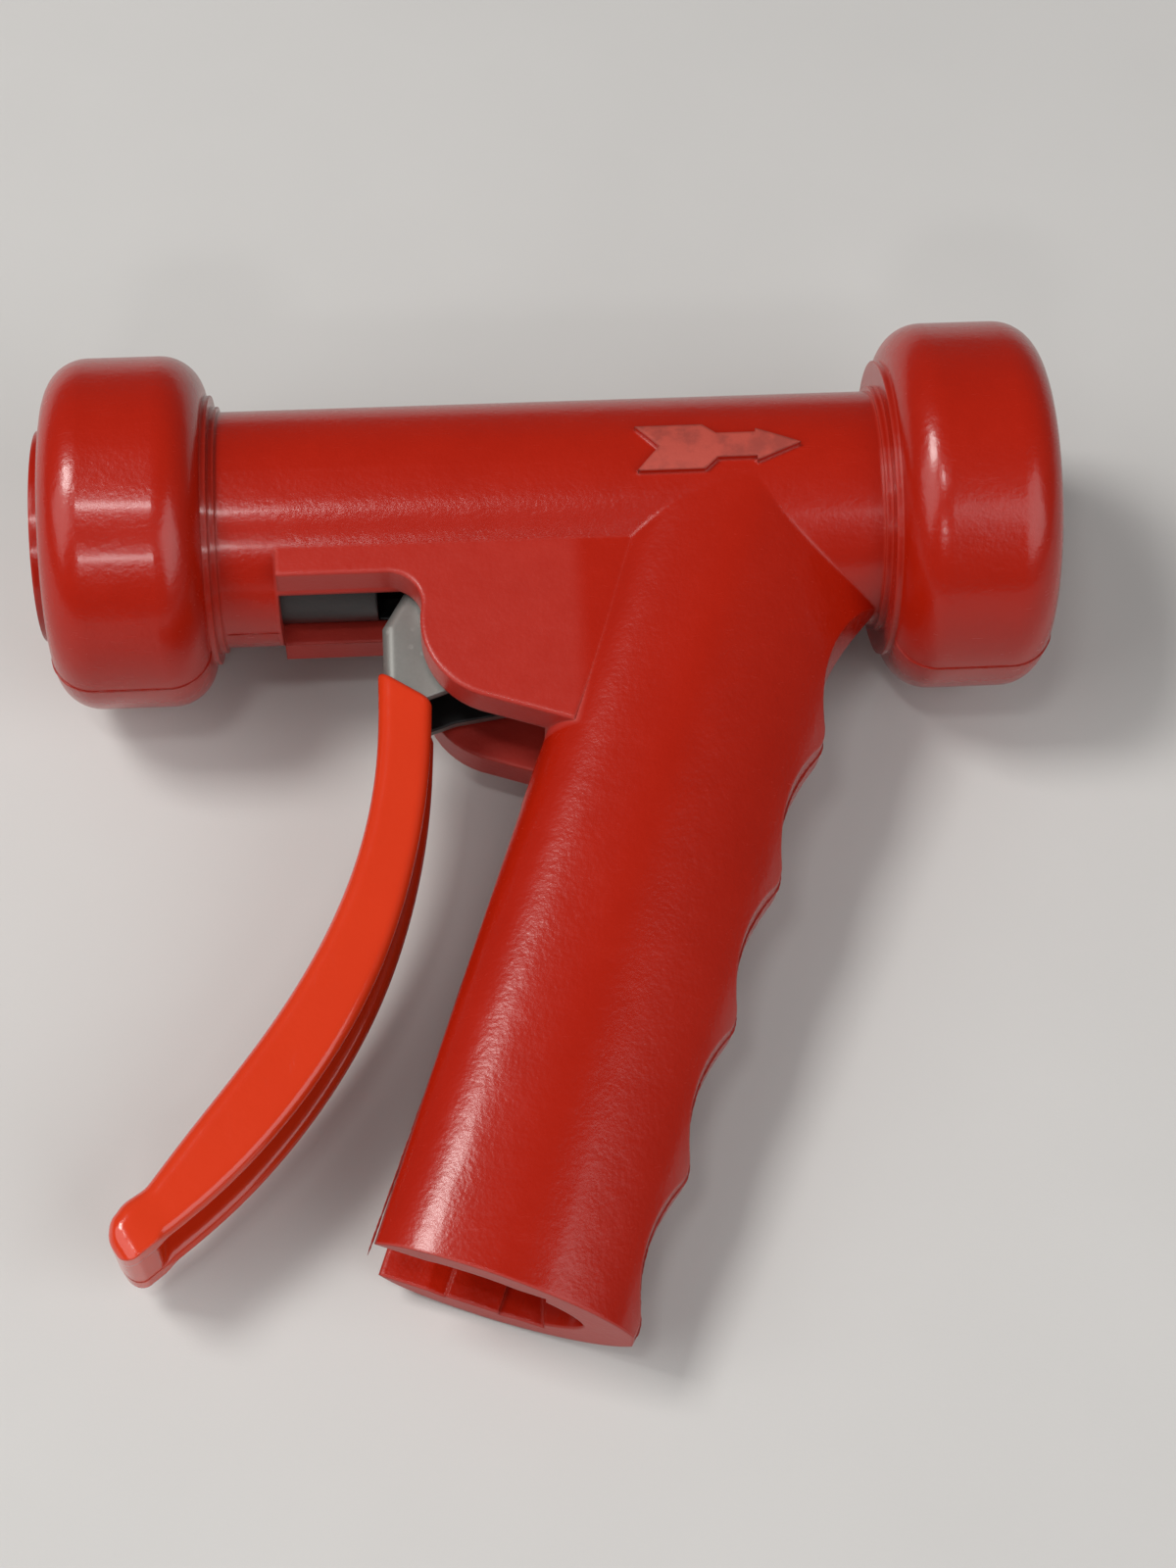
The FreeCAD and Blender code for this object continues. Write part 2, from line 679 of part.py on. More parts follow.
# ---------------------------------------------------------------- lever
arm_back = [V(53.3, -32.0, 0), V(52.6, -49.0, 0), V(49.2, -65.5, 0), V(42.6, -81.5, 0), V(32.6, -97.6, 0),
            V(20.5, -113.3, 0), V(10.5, -126.8, 0)]
arm_front = [V(62.4, -38.0, 0), V(61.6, -50.0, 0), V(58.0, -70.0, 0), V(51.0, -89.5, 0), V(40.2, -107.3, 0),
             V(26.5, -122.5, 0), V(14.0, -132.6, 0)]


def arm_outline(back_inset, front_inset, tip_inset):
    """Closed side outline of the lever's arm, with its long edges and tip drawn in."""
    back = shifted(arm_back, back_inset)
    front = shifted(arm_front, -front_inset)
    along = (arm_front[-1] - arm_front[-2]).normalize()
    middle = (back[-1] + front[-1]) * 0.5 + along * (tip_bulge - tip_inset)
    return [smooth(back).toShape(), arc(back[-1], middle, front[-1]), smooth(front).toShape(),
            Part.makeLine(front[0], back[0])]


def arm_channel(half_width, wall, inset):
    """Channel-section arm, open towards the grip: outside drawn in by an inset, then hollowed by a wall."""
    outside = slab(arm_outline(inset, inset, inset), -half_width, half_width)
    inner = half_width - wall
    return outside.cut(slab(arm_outline(inset + wall, -open_front, inset + wall), -inner, inner))


def coat_block():
    """Block below the slanting line where the lever's coating starts."""
    back = V(arm_back[0].x, -coat_line_back, 0)
    slant = (V(arm_front[0].x, -coat_line_front, 0) - back).normalize()
    behind = back - slant * BIG
    ahead = back + slant * BIG
    return slab(polygon([behind, ahead, ahead - V(0, BIG, 0), V(behind.x, ahead.y - BIG, 0)]), -BIG / 2, BIG / 2)


def head_outline():
    """Side outline of the lever's bare head: hub, prong up to the stem, and back to the arm."""
    hub_low = pivot + V(0, -hub_radius, 0)
    hub_right = pivot + V(hub_radius, 0, 0)
    tip_left = nose + V(-prong_nose_radius, 0, 0)
    tip_top = nose + V(0, prong_nose_radius, 0)
    tip_right = nose + V(prong_nose_radius, 0, 0)
    heel_back = arm_back[0] + V(coating, -head_overlap, 0)
    heel_front = arm_front[0] + V(-coating, -head_overlap, 0)
    throat_front = arm_front[0] + V(-coating, 0, 0)
    shoulder_back = arm_back[0] + V(coating, head_overlap, 0)
    corners = [hub_low, head_throat, throat_front, heel_front, heel_back, shoulder_back, head_back_top, head_front_top,
               nose + prong_root, nose + prong_neck, tip_left]
    lines = [Part.makeLine(a, b) for a, b in zip(corners, corners[1:])]
    return lines + [arc(tip_left, tip_top, tip_right), Part.makeLine(tip_right, hub_right),
                    arc(hub_right, pivot + V(math.cos(math.pi / 4), -math.sin(math.pi / 4), 0) * hub_radius, hub_low)]


def lever_frame():
    """Pressed channel lever: coated arm, bare head with two side plates, hub holes and prongs."""
    arm = arm_channel(lever_half_width, lever_plate, coating).common(coat_block())
    blank = slab(head_outline(), -lever_half_width, lever_half_width)
    bends = [edge for edge in blank.Edges
             if edge.BoundBox.ZLength < head_bend and edge.BoundBox.XMax < head_back_top.x + head_bend]
    web_face = arm_back[0].x + coating + lever_plate
    inside = Part.makeBox(BIG, BIG, 2 * lever_gap, V(web_face, -BIG / 2, -lever_gap))
    head = blank.makeFillet(head_bend, bends).cut(inside)
    hole = cross_pin(bush_shank_radius, -lever_half_width - 1, lever_half_width + 1)
    return arm.fuse(head).cut(hole).removeSplitter()


def lever_coating():
    """Thick dipped coating on the lever's arm, inside and out."""
    skin = arm_channel(lever_half_width + coating, lever_plate + 2 * coating, 0.0)
    return skin.common(coat_block()).cut(lever_frame())


def pivot_bushes():
    """Two flanged bushes in the lever's side plates, turning on the pin."""
    bushes = []
    for side in (-1, 1):
        inner, outer, flange = (side * lever_gap, side * lever_half_width, side * (lever_half_width + bush_flange))
        shank = cross_pin(bush_shank_radius - running_fit, min(inner, flange), max(inner, flange))
        collar = cross_pin(bush_radius, min(outer, flange), max(outer, flange))
        bore = cross_pin(pin_radius + running_fit, -BIG, BIG)
        bushes.append(shank.fuse(collar).cut(bore).removeSplitter())
    return Part.makeCompound(bushes)


pieces = {
    "valve_body": valve_body,
    "rubber_cover": rubber_cover,
    "rear_packing": rear_packing,
    "rear_gland_nut": rear_gland_nut,
    "front_packing": front_packing,
    "front_gland_nut": front_gland_nut,
    "discharge_head": discharge_head,
    "head_seal": head_seal,
    "seat_ring": seat_ring,
    "pivot_pin": pivot_pin,
    "pivot_clips": pivot_clips,
    "stem_tube": stem_tube,
    "thrust_washer": thrust_washer,
    "thrust_collar": thrust_collar,
    "collar_lock_nut": collar_lock_nut,
    "spring_cup": spring_cup,
    "cup_clip": cup_clip,
    "disc_holder": disc_holder,
    "disc_seal": disc_seal,
    "spray_tip": spray_tip,
    "return_spring": return_spring,
    "lever_frame": lever_frame,
    "lever_coating": lever_coating,
    "pivot_bushes": pivot_bushes,
}

os.makedirs("parts", exist_ok=True)
for name, make in pieces.items():
    shape = make()
    shape.rotate(CENTRE, FLOW, lie_angle)
    shape.exportStep("parts/" + name + ".step")
    box = shape.BoundBox
    print(f"{name:16s} valid {shape.isValid()} solids {len(shape.Solids)} volume {shape.Volume:9.1f} "
          f"x {box.XMin:7.2f}..{box.XMax:7.2f} y {box.YMin:7.2f}..{box.YMax:7.2f} z {box.ZMin:6.2f}..{box.ZMax:6.2f}")
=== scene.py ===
"""Looks of a rubber-covered trigger nozzle that lies on its side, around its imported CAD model.

The CAD pieces keep their shape and get their finishes here. The dipped coat of the lever, the flash that
the mould left along the parting plane and the thread of the inlet are made here.
Most shapes are given in the nozzle's own frame, in millimetres: along the flow from the inlet, upright in
the plane of the grip and lever, and across that plane.
"""

import json
import math

import bpy
import numpy as np
from mathutils import Matrix, Vector


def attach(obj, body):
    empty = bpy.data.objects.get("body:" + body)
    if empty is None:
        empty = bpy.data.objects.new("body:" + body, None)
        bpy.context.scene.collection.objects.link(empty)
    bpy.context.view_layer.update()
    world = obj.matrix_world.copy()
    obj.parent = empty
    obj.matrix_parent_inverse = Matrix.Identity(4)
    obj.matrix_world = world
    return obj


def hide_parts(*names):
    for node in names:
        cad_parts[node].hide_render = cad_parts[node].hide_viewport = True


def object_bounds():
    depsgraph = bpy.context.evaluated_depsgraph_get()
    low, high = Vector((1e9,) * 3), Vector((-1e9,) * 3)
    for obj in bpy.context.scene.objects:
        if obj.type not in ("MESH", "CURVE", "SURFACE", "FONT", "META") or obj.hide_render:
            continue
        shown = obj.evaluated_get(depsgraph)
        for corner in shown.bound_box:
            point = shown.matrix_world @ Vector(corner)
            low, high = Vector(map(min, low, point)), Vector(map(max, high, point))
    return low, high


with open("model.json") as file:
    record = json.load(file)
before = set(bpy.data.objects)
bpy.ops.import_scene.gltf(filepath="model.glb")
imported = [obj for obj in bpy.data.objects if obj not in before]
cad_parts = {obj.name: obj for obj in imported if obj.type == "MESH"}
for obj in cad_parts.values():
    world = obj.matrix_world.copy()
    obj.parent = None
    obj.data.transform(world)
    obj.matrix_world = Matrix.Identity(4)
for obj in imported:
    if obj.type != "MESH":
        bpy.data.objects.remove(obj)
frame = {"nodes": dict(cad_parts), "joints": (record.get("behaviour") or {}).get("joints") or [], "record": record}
cad_box = [list(corner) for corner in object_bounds()]

MM = 0.001
FLOW = np.array([1.0, 0.0, 0.0])
ACROSS = np.array(next(joint for joint in frame["joints"] if joint["name"] == "lever_squeeze")["axis"])
UPRIGHT = np.cross(ACROSS, FLOW)
lie_angle = math.atan2(-ACROSS[1], ACROSS[2])


def laid(points):
    """Points of the nozzle's own frame, in millimetres, as metres in the row's frame: the three numbers
    times the flow, upright and across directions, added up."""
    return np.asarray(points, float) @ np.array([FLOW, UPRIGHT, ACROSS]) * MM


# ---- sizes of the CAD model that the added pieces follow, in millimetres
barrel_radius = 20.75
rear_bumper = (-3.0, 24.5, 30.8)           # start, end and radius
front_bumper = (143.6, 171.2, 32.4)
bumper_corner = 7.5
grip_lean = math.radians(20.8)
grip_back, grip_front, grip_end = 92.5, 136.8, 106.4
finger_pitch, finger_dip, finger_land, ridge_rise = 26.6, 2.3, 4.0, 0.35
arm_back = [(53.3, -32.0), (52.6, -49.0), (49.2, -65.5), (42.6, -81.5), (32.6, -97.6), (20.5, -113.3),
            (10.5, -126.8)]
arm_front = [(62.4, -38.0), (61.6, -50.0), (58.0, -70.0), (51.0, -89.5), (40.2, -107.3), (26.5, -122.5),
             (14.0, -132.6)]
dip_line = 0.0075          # share of the arm above the line where its coat starts

# ---- half width, height and roughness of the flash, in millimetres
bumper_flash = (0.16, 0.20, 0.35)
seam_flash = (0.15, 0.17, 0.40)
finger_flash = (0.18, 0.24, 0.35)

# ---- where a shade sets in and where it is full, in millimetres
arrow_back, arrow_front, arrow_side, arrow_skin = (98.4, 98.8), (128.6, 128.0), (5.6, 5.2), (21.55, 21.75)
arrow_middle = 1.2
cheek_side, cheek_top, cheek_front = (16.6, 16.0), (-12.5, -13.5), (90.0, 86.0)
cheek_foot, cheek_rear = (-48.0, -47.0), (36.0, 36.6)
cut_face = (grip_end - 0.4, grip_end - 0.1)
# plate_inside and web_inside bound the painted shade inside the lever's channel
plate_inside, web_inside = (6.8, 6.5), (56.2, 57.0)


# ---------------------------------------------------------------- surfaces
def smooth_curve(points, shares):
    """Cubic spline through points, with the length of its chords as parameter. Its bending at the points
    comes from one linear system, and is zero at both ends."""
    points = np.asarray(points, float)
    chord = np.linalg.norm(np.diff(points, axis=0), axis=1)
    knots = np.concatenate([[0.0], np.cumsum(chord)])
    count = len(points)
    inner = np.arange(1, count - 1)
    system = np.eye(count)
    system[inner, inner - 1] = chord[:-1]
    system[inner, inner] = 2 * (chord[:-1] + chord[1:])
    system[inner, inner + 1] = chord[1:]
    slope = np.diff(points, axis=0) / chord[:, None]
    right = np.zeros_like(points)
    right[1:-1] = 6 * (slope[1:] - slope[:-1])
    bending = np.linalg.solve(system, right)
    at = np.clip(np.asarray(shares, float), 0, 1) * knots[-1]
    low = np.clip(np.searchsorted(knots, at, side="right") - 1, 0, count - 2)
    step = chord[low]
    before = ((knots[low + 1] - at) / step)[:, None]
    after = ((at - knots[low]) / step)[:, None]
    bent = (before ** 3 - before) * bending[low] + (after ** 3 - after) * bending[low + 1]
    return before * points[low] + after * points[low + 1] + bent * (step ** 2)[:, None] / 6


def smooth_step(value, start, end):
    """0 before start, 1 after end, and the cubic 3t^2 - 2t^3 between them."""
    share = np.clip((value - start) / (end - start), 0, 1)
    return share * share * (3 - 2 * share)


def skin(name, grid):
    """Closed mesh over a grid of points (along, round, xyz) in metres: a quad between every four
    neighbours, joined round, with one face that closes each end. Its faces are turned outwards, by the sign
    of the volume they enclose."""
    rows, columns = grid.shape[:2]
    index = np.arange(rows * columns).reshape(rows, columns)
    lower, upper = index[:-1], index[1:]
    corners = [lower, np.roll(lower, -1, axis=1), np.roll(upper, -1, axis=1), upper]
    quads = np.stack(corners, axis=-1).reshape(-1, 4)
    points = grid.reshape(-1, 3)
    corner = points[quads] - points.mean(axis=0)
    volume = sum((corner[:, 0] * np.cross(corner[:, k], corner[:, k + 1])).sum() for k in (1, 2))
    faces = quads.tolist() + [index[0, ::-1].tolist(), index[-1].tolist()]
    if volume < 0:
        faces = [face[::-1] for face in faces]
    mesh = bpy.data.meshes.new(name)
    mesh.from_pydata(points.tolist(), [], faces)
    mesh.polygons.foreach_set("use_smooth", np.ones(len(faces), bool))
    mesh.update()
    piece = bpy.data.objects.new(name, mesh)
    bpy.context.scene.collection.objects.link(piece)
    return piece


def bead(name, path, outward, width, height, rough_edge):
    """Half-sunk ridge along a path of the middle plane: an ellipse of the given half width and height,
    square to the path, whose size goes up and down with a sum of sines so that it looks torn. Path and
    outward directions are (flow, upright) pairs in millimetres."""
    path, outward = np.asarray(path, float), np.asarray(outward, float)
    length = np.concatenate([[0.0], np.cumsum(np.linalg.norm(np.diff(path, axis=0), axis=1))])
    torn = 1 + rough_edge * (np.sin(length * 2.3) + np.sin(length * 5.1 + 1) + np.sin(length * 0.9 + 2)) / 3
    fade = np.minimum(1, np.minimum(length, length[-1] - length) / 1.5 + 0.15)
    turn = np.linspace(0, 2 * math.pi, 10, endpoint=False)
    rise = np.cos(turn)[None, :] * (height * torn * fade)[:, None]
    out = np.sin(turn)[None, :] * (width * fade)[:, None]
    plane = path[:, None, :] + outward[:, None, :] * rise[:, :, None]
    return skin(name, laid(np.concatenate([plane, out[:, :, None]], axis=2)))


def finish_piece(piece, body, material):
    """One made piece: its material, the body it moves with and the finish it stands for."""
    piece.data.materials.append(material)
    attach(piece, body)
    return piece


# ---------------------------------------------------------------- lever coat
def channel_profile(half_width, wall, web, depth, inset, stretch, outer_round):
    """Closed outline of a channel section, one for each entry of the arrays: four outer and four inner
    corners, each a quarter circle between two runs, drawn in all round by the inset. The first number runs
    from the web to the rims, the second across. Stretch makes up for sections cut at a slant."""
    reach, side, inner = depth - inset * stretch, half_width - inset, half_width - wall + inset
    start, floor = inset * stretch, (web - inset) * stretch
    floor = np.minimum(floor, reach - 0.12)
    rim = np.minimum((side - inner) / 2 * 0.98, (reach - floor) * 0.45 / stretch)
    web_round = np.minimum(outer_round - inset, reach * 0.4 / stretch)
    nook = np.minimum(1.3 + inset, (reach - floor) * 0.45 / stretch)
    corners = [
        (start, -side, (-1, 0), (0, 1), web_round), (start, side, (0, 1), (1, 0), web_round),
        (reach, side, (1, 0), (0, -1), rim), (reach, inner, (0, -1), (-1, 0), rim),
        (floor, inner, (-1, 0), (0, -1), nook), (floor, -inner, (0, -1), (1, 0), nook),
        (reach, -inner, (1, 0), (0, -1), rim), (reach, -side, (0, -1), (-1, 0), rim)]
    turn = np.linspace(0, math.pi / 2, 7)[None, :]
    arcs = []
    for p, q, arriving, leaving, radius in corners:
        radius = np.asarray(radius)[:, None]
        along, out = (radius * (leaving[k] * (1 - np.cos(turn)) - arriving[k] * (1 - np.sin(turn)))
                      for k in (0, 1))
        first = np.asarray(p)[:, None] + along * stretch[:, None]
        arcs.append(np.stack([first, np.asarray(q)[:, None] + out], axis=2))
    loop = []
    for arc, following in zip(arcs, arcs[1:] + arcs[:1]):
        gap = np.array([0.12, 0.5, 0.88])[None, :, None]
        loop += [arc, arc[:, -1:] * (1 - gap) + following[:, :1] * gap]
    return np.concatenate(loop, axis=1)


def lever_coat(half_width=9.0, wall=3.6, tip_bulge=3.4, lip=1.5, web_corner=2.4, edge_depth=1.03):
    """Dipped coat of the lever: the channel profile carried down the arm between its back and front curves.
    It grows out of the bare metal over a millimetre, slants with the dip line at the top, and closes to a
    rolled, flared lip at the tip."""
    edge = 1 - np.cos(np.linspace(0, math.pi / 2, 7))
    run = np.concatenate([edge * 0.009, np.linspace(0.012, 1, 150)])
    ball = np.linspace(0, math.pi / 2 * 0.97, 12)[1:]
    count, extra = len(run), len(ball)
    back = smooth_curve(arm_back, dip_line + run * (1 - dip_line))
    front = smooth_curve(arm_front, dip_line + run * (1 - dip_line))
    ahead = (front[-1] - front[-2]) + (back[-1] - back[-2])
    ahead = ahead / np.linalg.norm(ahead)
    back = np.concatenate([back, back[-1] + ahead * (tip_bulge * np.sin(ball))[:, None]])
    front = np.concatenate([front, front[-1] + ahead * (tip_bulge * np.sin(ball))[:, None]])
    share = np.concatenate([run, np.ones(extra)])
    round_off = np.concatenate([np.zeros(count), 1 - np.cos(ball)])
    span = front - back
    depth = np.linalg.norm(span, axis=1)
    toward = span / depth[:, None]
    tangent = np.gradient(back, axis=0)
    tangent = tangent / np.linalg.norm(tangent, axis=1)[:, None]
    slant = np.abs(toward[:, 0] * tangent[:, 1] - toward[:, 1] * tangent[:, 0])
    slant[count:] = slant[count - 1]
    flare = lip * smooth_step(share, 0.930, 0.990)
    back = back - toward * flare[:, None]
    depth = depth + flare
    shrink = round_off * depth * 0.42
    back = back + toward * shrink[:, None]
    depth = depth - 2 * shrink
    side = half_width - round_off * 2.6 + 0.25 * flare
    inset = np.zeros(count + extra)
    inset[:7] = edge_depth * (1 - np.sin(np.linspace(0, math.pi / 2, 7)))
    closing = smooth_step(share, 0.945, 0.985)
    web = wall + (depth - wall) * closing
    profile = channel_profile(side, wall, web, depth, inset, 1 / slant, web_corner)
    plane = back[:, None, :] + toward[:, None, :] * profile[:, :, :1]
    wave = 0.45 * np.sin(profile[:, :, 1] * 0.55 + 0.8) * np.exp(-share * 55)[:, None]
    plane = plane + tangent[:, None, :] * wave[:, :, None]
    return skin("lever_coat", laid(np.concatenate([plane, profile[:, :, 1:]], axis=2)))


# ---------------------------------------------------------------- flash and thread
def bumper_side(bumper, side):
    """Outline of a bumper in the middle plane on one side of the flow axis: inner face, quarter circle,
    flat, quarter circle, outer face, with the direction out of the rubber at each point."""
    start, end, radius = bumper
    turn = np.linspace(0, math.pi / 2, 14)
    low = radius - bumper_corner
    rising = np.stack([-np.cos(turn), np.sin(turn)], axis=1)
    falling = np.stack([np.sin(turn), np.cos(turn)], axis=1)
    first = (start + bumper_corner, low) + bumper_corner * rising
    second = (end - bumper_corner, low) + bumper_corner * falling
    flat = np.linspace(start + bumper_corner, end - bumper_corner, 40)[1:-1]
    middle = np.stack([flat, np.full(len(flat), radius)], axis=1)
    out = np.concatenate([rising, np.tile([0.0, 1.0], (len(flat), 1)), falling])
    sign = np.array([1.0, side])
    return np.concatenate([first, middle, second]) * sign, out * sign


def grip_point(along, reach):
    """Points of the middle plane from distances across and down the grip."""
    down = np.array([-math.sin(grip_lean), -math.cos(grip_lean)])
    square = np.array([math.cos(grip_lean), -math.sin(grip_lean)])
    return np.outer(reach, down) + np.outer(along, square)


def finger_line():
    """Front outline of the grip from its open end to the finger stop: low ridges with arcs between them."""
    reach = np.linspace(grip_end - 0.3, -28.0, 260)
    phase = (grip_end - finger_land / 2 - reach) / finger_pitch
    step = np.floor(phase + 0.5)
    from_ridge = np.abs(phase - step) * finger_pitch
    hollow = np.clip((from_ridge - finger_land / 2) / (finger_pitch / 2 - finger_land / 2), 0, 1)
    rise = np.where(from_ridge < finger_land / 2, ridge_rise * (1 - (from_ridge * 2 / finger_land) ** 2),
                    -finger_dip * (1 - (1 - hollow) ** 2))
    keep = reach > grip_end - finger_land / 2 - 4 * finger_pitch - finger_land / 2
    path = grip_point(grip_front + rise[keep], reach[keep])
    out = np.tile(grip_point([1.0], [0.0]), (len(path), 1))
    return path, out


def inlet_thread(turns=9.0, pitch=1.814, wall=9.42, crest=8.55):
    """Pipe thread in the inlet: a rounded ridge wound round the flow axis, one pitch further in at each
    turn, that runs out into the wall at both ends."""
    turn = np.linspace(0, 2 * math.pi * turns, int(turns * 56))
    swell = np.minimum(1, np.minimum(turn, turn[-1] - turn) / 1.5)
    corner = np.array([(-0.62, 0.0), (-0.34, 0.62), (-0.1, 1.0), (0.1, 1.0), (0.34, 0.62), (0.62, 0.0),
                       (0.0, -0.25)])
    radius = wall - (wall - crest) * corner[None, :, 1] * swell[:, None]
    station = 0.9 + pitch * turn[:, None] / (2 * math.pi) + corner[None, :, 0] * pitch / 1.4
    return skin("inlet_thread", laid(np.stack(
        [station, radius * np.cos(turn)[:, None], radius * np.sin(turn)[:, None]], axis=2)))


# ---------------------------------------------------------------- shader maths
class Wire:
    """One value of a material. Expressions on it add the Math nodes that work them out."""

    def __init__(self, finish, socket):
        self.finish, self.socket = finish, socket

    def maths(self, operation, *terms):
        return self.finish.node("ShaderNodeMath", {"operation": operation}, terms)

    def __add__(self, other):
        return self.maths("ADD", self, other)

    def __sub__(self, other):
        return self.maths("SUBTRACT", self, other)

    def __rsub__(self, other):
        return self.maths("SUBTRACT", other, self)

    def __mul__(self, other):
        return self.maths("MULTIPLY", self, other)

    def __pow__(self, other):
        return self.maths("POWER", self, other)

    __radd__, __rmul__ = __add__, __mul__

    def larger(self, other):
        return self.maths("MAXIMUM", self, other)

    def size(self):
        return self.maths("ABSOLUTE", self)

    def sets_in(self, ends):
        """0 up to the first of two ends in millimetres, 1 from the second."""
        return self.step(ends[0] * MM, ends[1] * MM)

    def step(self, start, end):
        """0 up to start, 1 from end, smooth between; falling if start is above end."""
        low, high, ends = (start, end, (0.0, 1.0)) if start < end else (end, start, (1.0, 0.0))
        return self.finish.node("ShaderNodeMapRange", {"interpolation_type": "SMOOTHSTEP"}, {
            "Value": self, "From Min": low, "From Max": high, "To Min": ends[0], "To Max": ends[1]})


class Finish:
    """A material and the nodes that make it."""

    def __init__(self, name):
        self.material = bpy.data.materials.new(name)
        self.material.use_nodes = True
        self.tree = self.material.node_tree
        self.tree.nodes.clear()

    def node(self, kind, settings=(), values=(), output=0):
        """Any node, from its type, its settings and the values or wires of its sockets."""
        made = self.tree.nodes.new(kind)
        for key, value in dict(settings).items():
            setattr(made, key, value)
        pairs = values.items() if isinstance(values, dict) else enumerate(values)
        for key, value in pairs:
            if isinstance(value, Wire):
                self.tree.links.new(value.socket, made.inputs[key])
            else:
                made.inputs[key].default_value = value
        return Wire(self, made.outputs[output])

    def place(self, stretch=(1, 1, 1), turned=False):
        """Object coordinates, stretched, and turned into the nozzle's own frame if asked."""
        start = self.node("ShaderNodeTexCoord", output="Object")
        turn = (-lie_angle if turned else 0.0, 0.0, 0.0)
        return self.node("ShaderNodeMapping", {}, {"Vector": start, "Rotation": turn, "Scale": stretch})

    def parts(self, vector):
        """The three numbers of a vector."""
        first = self.node("ShaderNodeSeparateXYZ", {}, {"Vector": vector})
        outputs = first.socket.node.outputs
        return [Wire(self, outputs[k]) for k in range(3)]

    def noise(self, scale, detail=3.0, rough=0.55, stretch=(1, 1, 1), turned=False):
        return self.node("ShaderNodeTexNoise", {}, {
            "Vector": self.place(stretch, turned), "Scale": scale, "Detail": detail, "Roughness": rough})

    def blend(self, share, first, second):
        """A colour between two, by a share."""
        return self.node("ShaderNodeMix", {"data_type": "RGBA", "clamp_factor": True}, {
            0: share, 6: first, 7: second}, 2)

    def soft_edges(self, radius):
        """Normals rounded over the edges, and how near an edge is."""
        rounded = self.node("ShaderNodeBevel", {"samples": 6}, {"Radius": radius})
        flat = self.node("ShaderNodeNewGeometry", output="Normal")
        match = self.node("ShaderNodeVectorMath", {"operation": "DOT_PRODUCT"}, (rounded, flat), "Value")
        return rounded, (1 - match).step(0.01, 0.22)

    def bump(self, height, strength, distance, normal=None):
        values = {"Strength": strength, "Distance": distance, "Height": height}
        if normal is not None:
            values["Normal"] = normal
        return self.node("ShaderNodeBump", {}, values)

    def shade(self, values):
        """Principled shader with the given sockets, as the surface."""
        shader = self.node("ShaderNodeBsdfPrincipled", {}, values)
        out = self.tree.nodes.new("ShaderNodeOutputMaterial")
        self.tree.links.new(shader.socket, out.inputs["Surface"])
        return self.material


def colour(red, green, blue):
    return (red, green, blue, 1.0)


# ---------------------------------------------------------------- finishes
def moulded_rubber():
    """Glossy red moulded rubber: cloudy red, fine peel, painted sheen on the edges, paler cut faces, smudged
    arrow.
    """
    f = Finish("moulded_rubber")
    flow, upright, across = f.parts(f.place(turned=True))
    cloud = f.noise(38, 4, 0.6)
    mottle = f.noise(260, 3, 0.6)
    peel = f.noise(1150, 2, 0.5)
    grain = f.noise(4200, 2, 0.5)
    scuff = f.noise(520, 5, 0.65, stretch=(0.35, 1.6, 1.6)).step(0.56, 0.74)
    rounded, edge = f.soft_edges(0.0009)
    reach = upright * -math.cos(grip_lean) + flow * -math.sin(grip_lean)
    cut_end = reach.sets_in(cut_face)
    away = ((upright * upright + across * across) ** 0.5)
    on_arrow = (flow.sets_in(arrow_back) * flow.sets_in(arrow_front) * away.sets_in(arrow_skin)
                * (upright - arrow_middle * MM).size().sets_in(arrow_side) * across.step(0.0, 0.002))
    cheek_rim = (across.size().sets_in(cheek_side) * upright.sets_in(cheek_top) * flow.sets_in(cheek_front)
                 * upright.sets_in(cheek_foot) * flow.sets_in(cheek_rear))
    pale = cut_end.larger(cheek_rim * 0.8)
    red = f.blend(cloud * 0.7 + mottle * 0.3, colour(0.320, 0.0075, 0.0010), colour(0.415, 0.0120, 0.0022))
    red = f.blend(scuff * 0.05, red, colour(0.44, 0.030, 0.018))
    # painted sheen: the edges are made a paler pink, standing in for the gloss that catches light there
    red = f.blend(edge * 0.34, red, colour(0.54, 0.060, 0.040))
    red = f.blend(pale * (0.35 + mottle * 0.3), red, colour(0.47, 0.060, 0.048))
    smudge = f.noise(240, 4, 0.6).step(0.42, 0.66)
    matte = f.blend(smudge * 0.55, colour(0.43, 0.062, 0.042), colour(0.21, 0.034, 0.026))
    red = f.blend(on_arrow, red, matte)
    dust = f.noise(2600, 2, 0.5).step(0.70, 0.76)
    red = f.blend(dust * 0.16, red, colour(0.10, 0.02, 0.015))
    dull = on_arrow * 0.36 + pale * 0.20 + edge * 0.10
    rough = 0.195 + cloud * 0.07 + mottle * 0.05 + scuff * 0.04 + dull
    coat = (0.18 - dull * 0.5 - scuff * 0.03).larger(0.0)
    fine = f.bump(grain, 0.16, 0.00006, rounded)
    return f.shade({
        "Base Color": red, "Roughness": rough, "Coat Weight": coat, "Coat Roughness": 0.12,
        "Specular IOR Level": 0.34, "IOR": 1.5, "Normal": f.bump(peel + mottle * 1.5, 0.30, 0.00016, fine)})



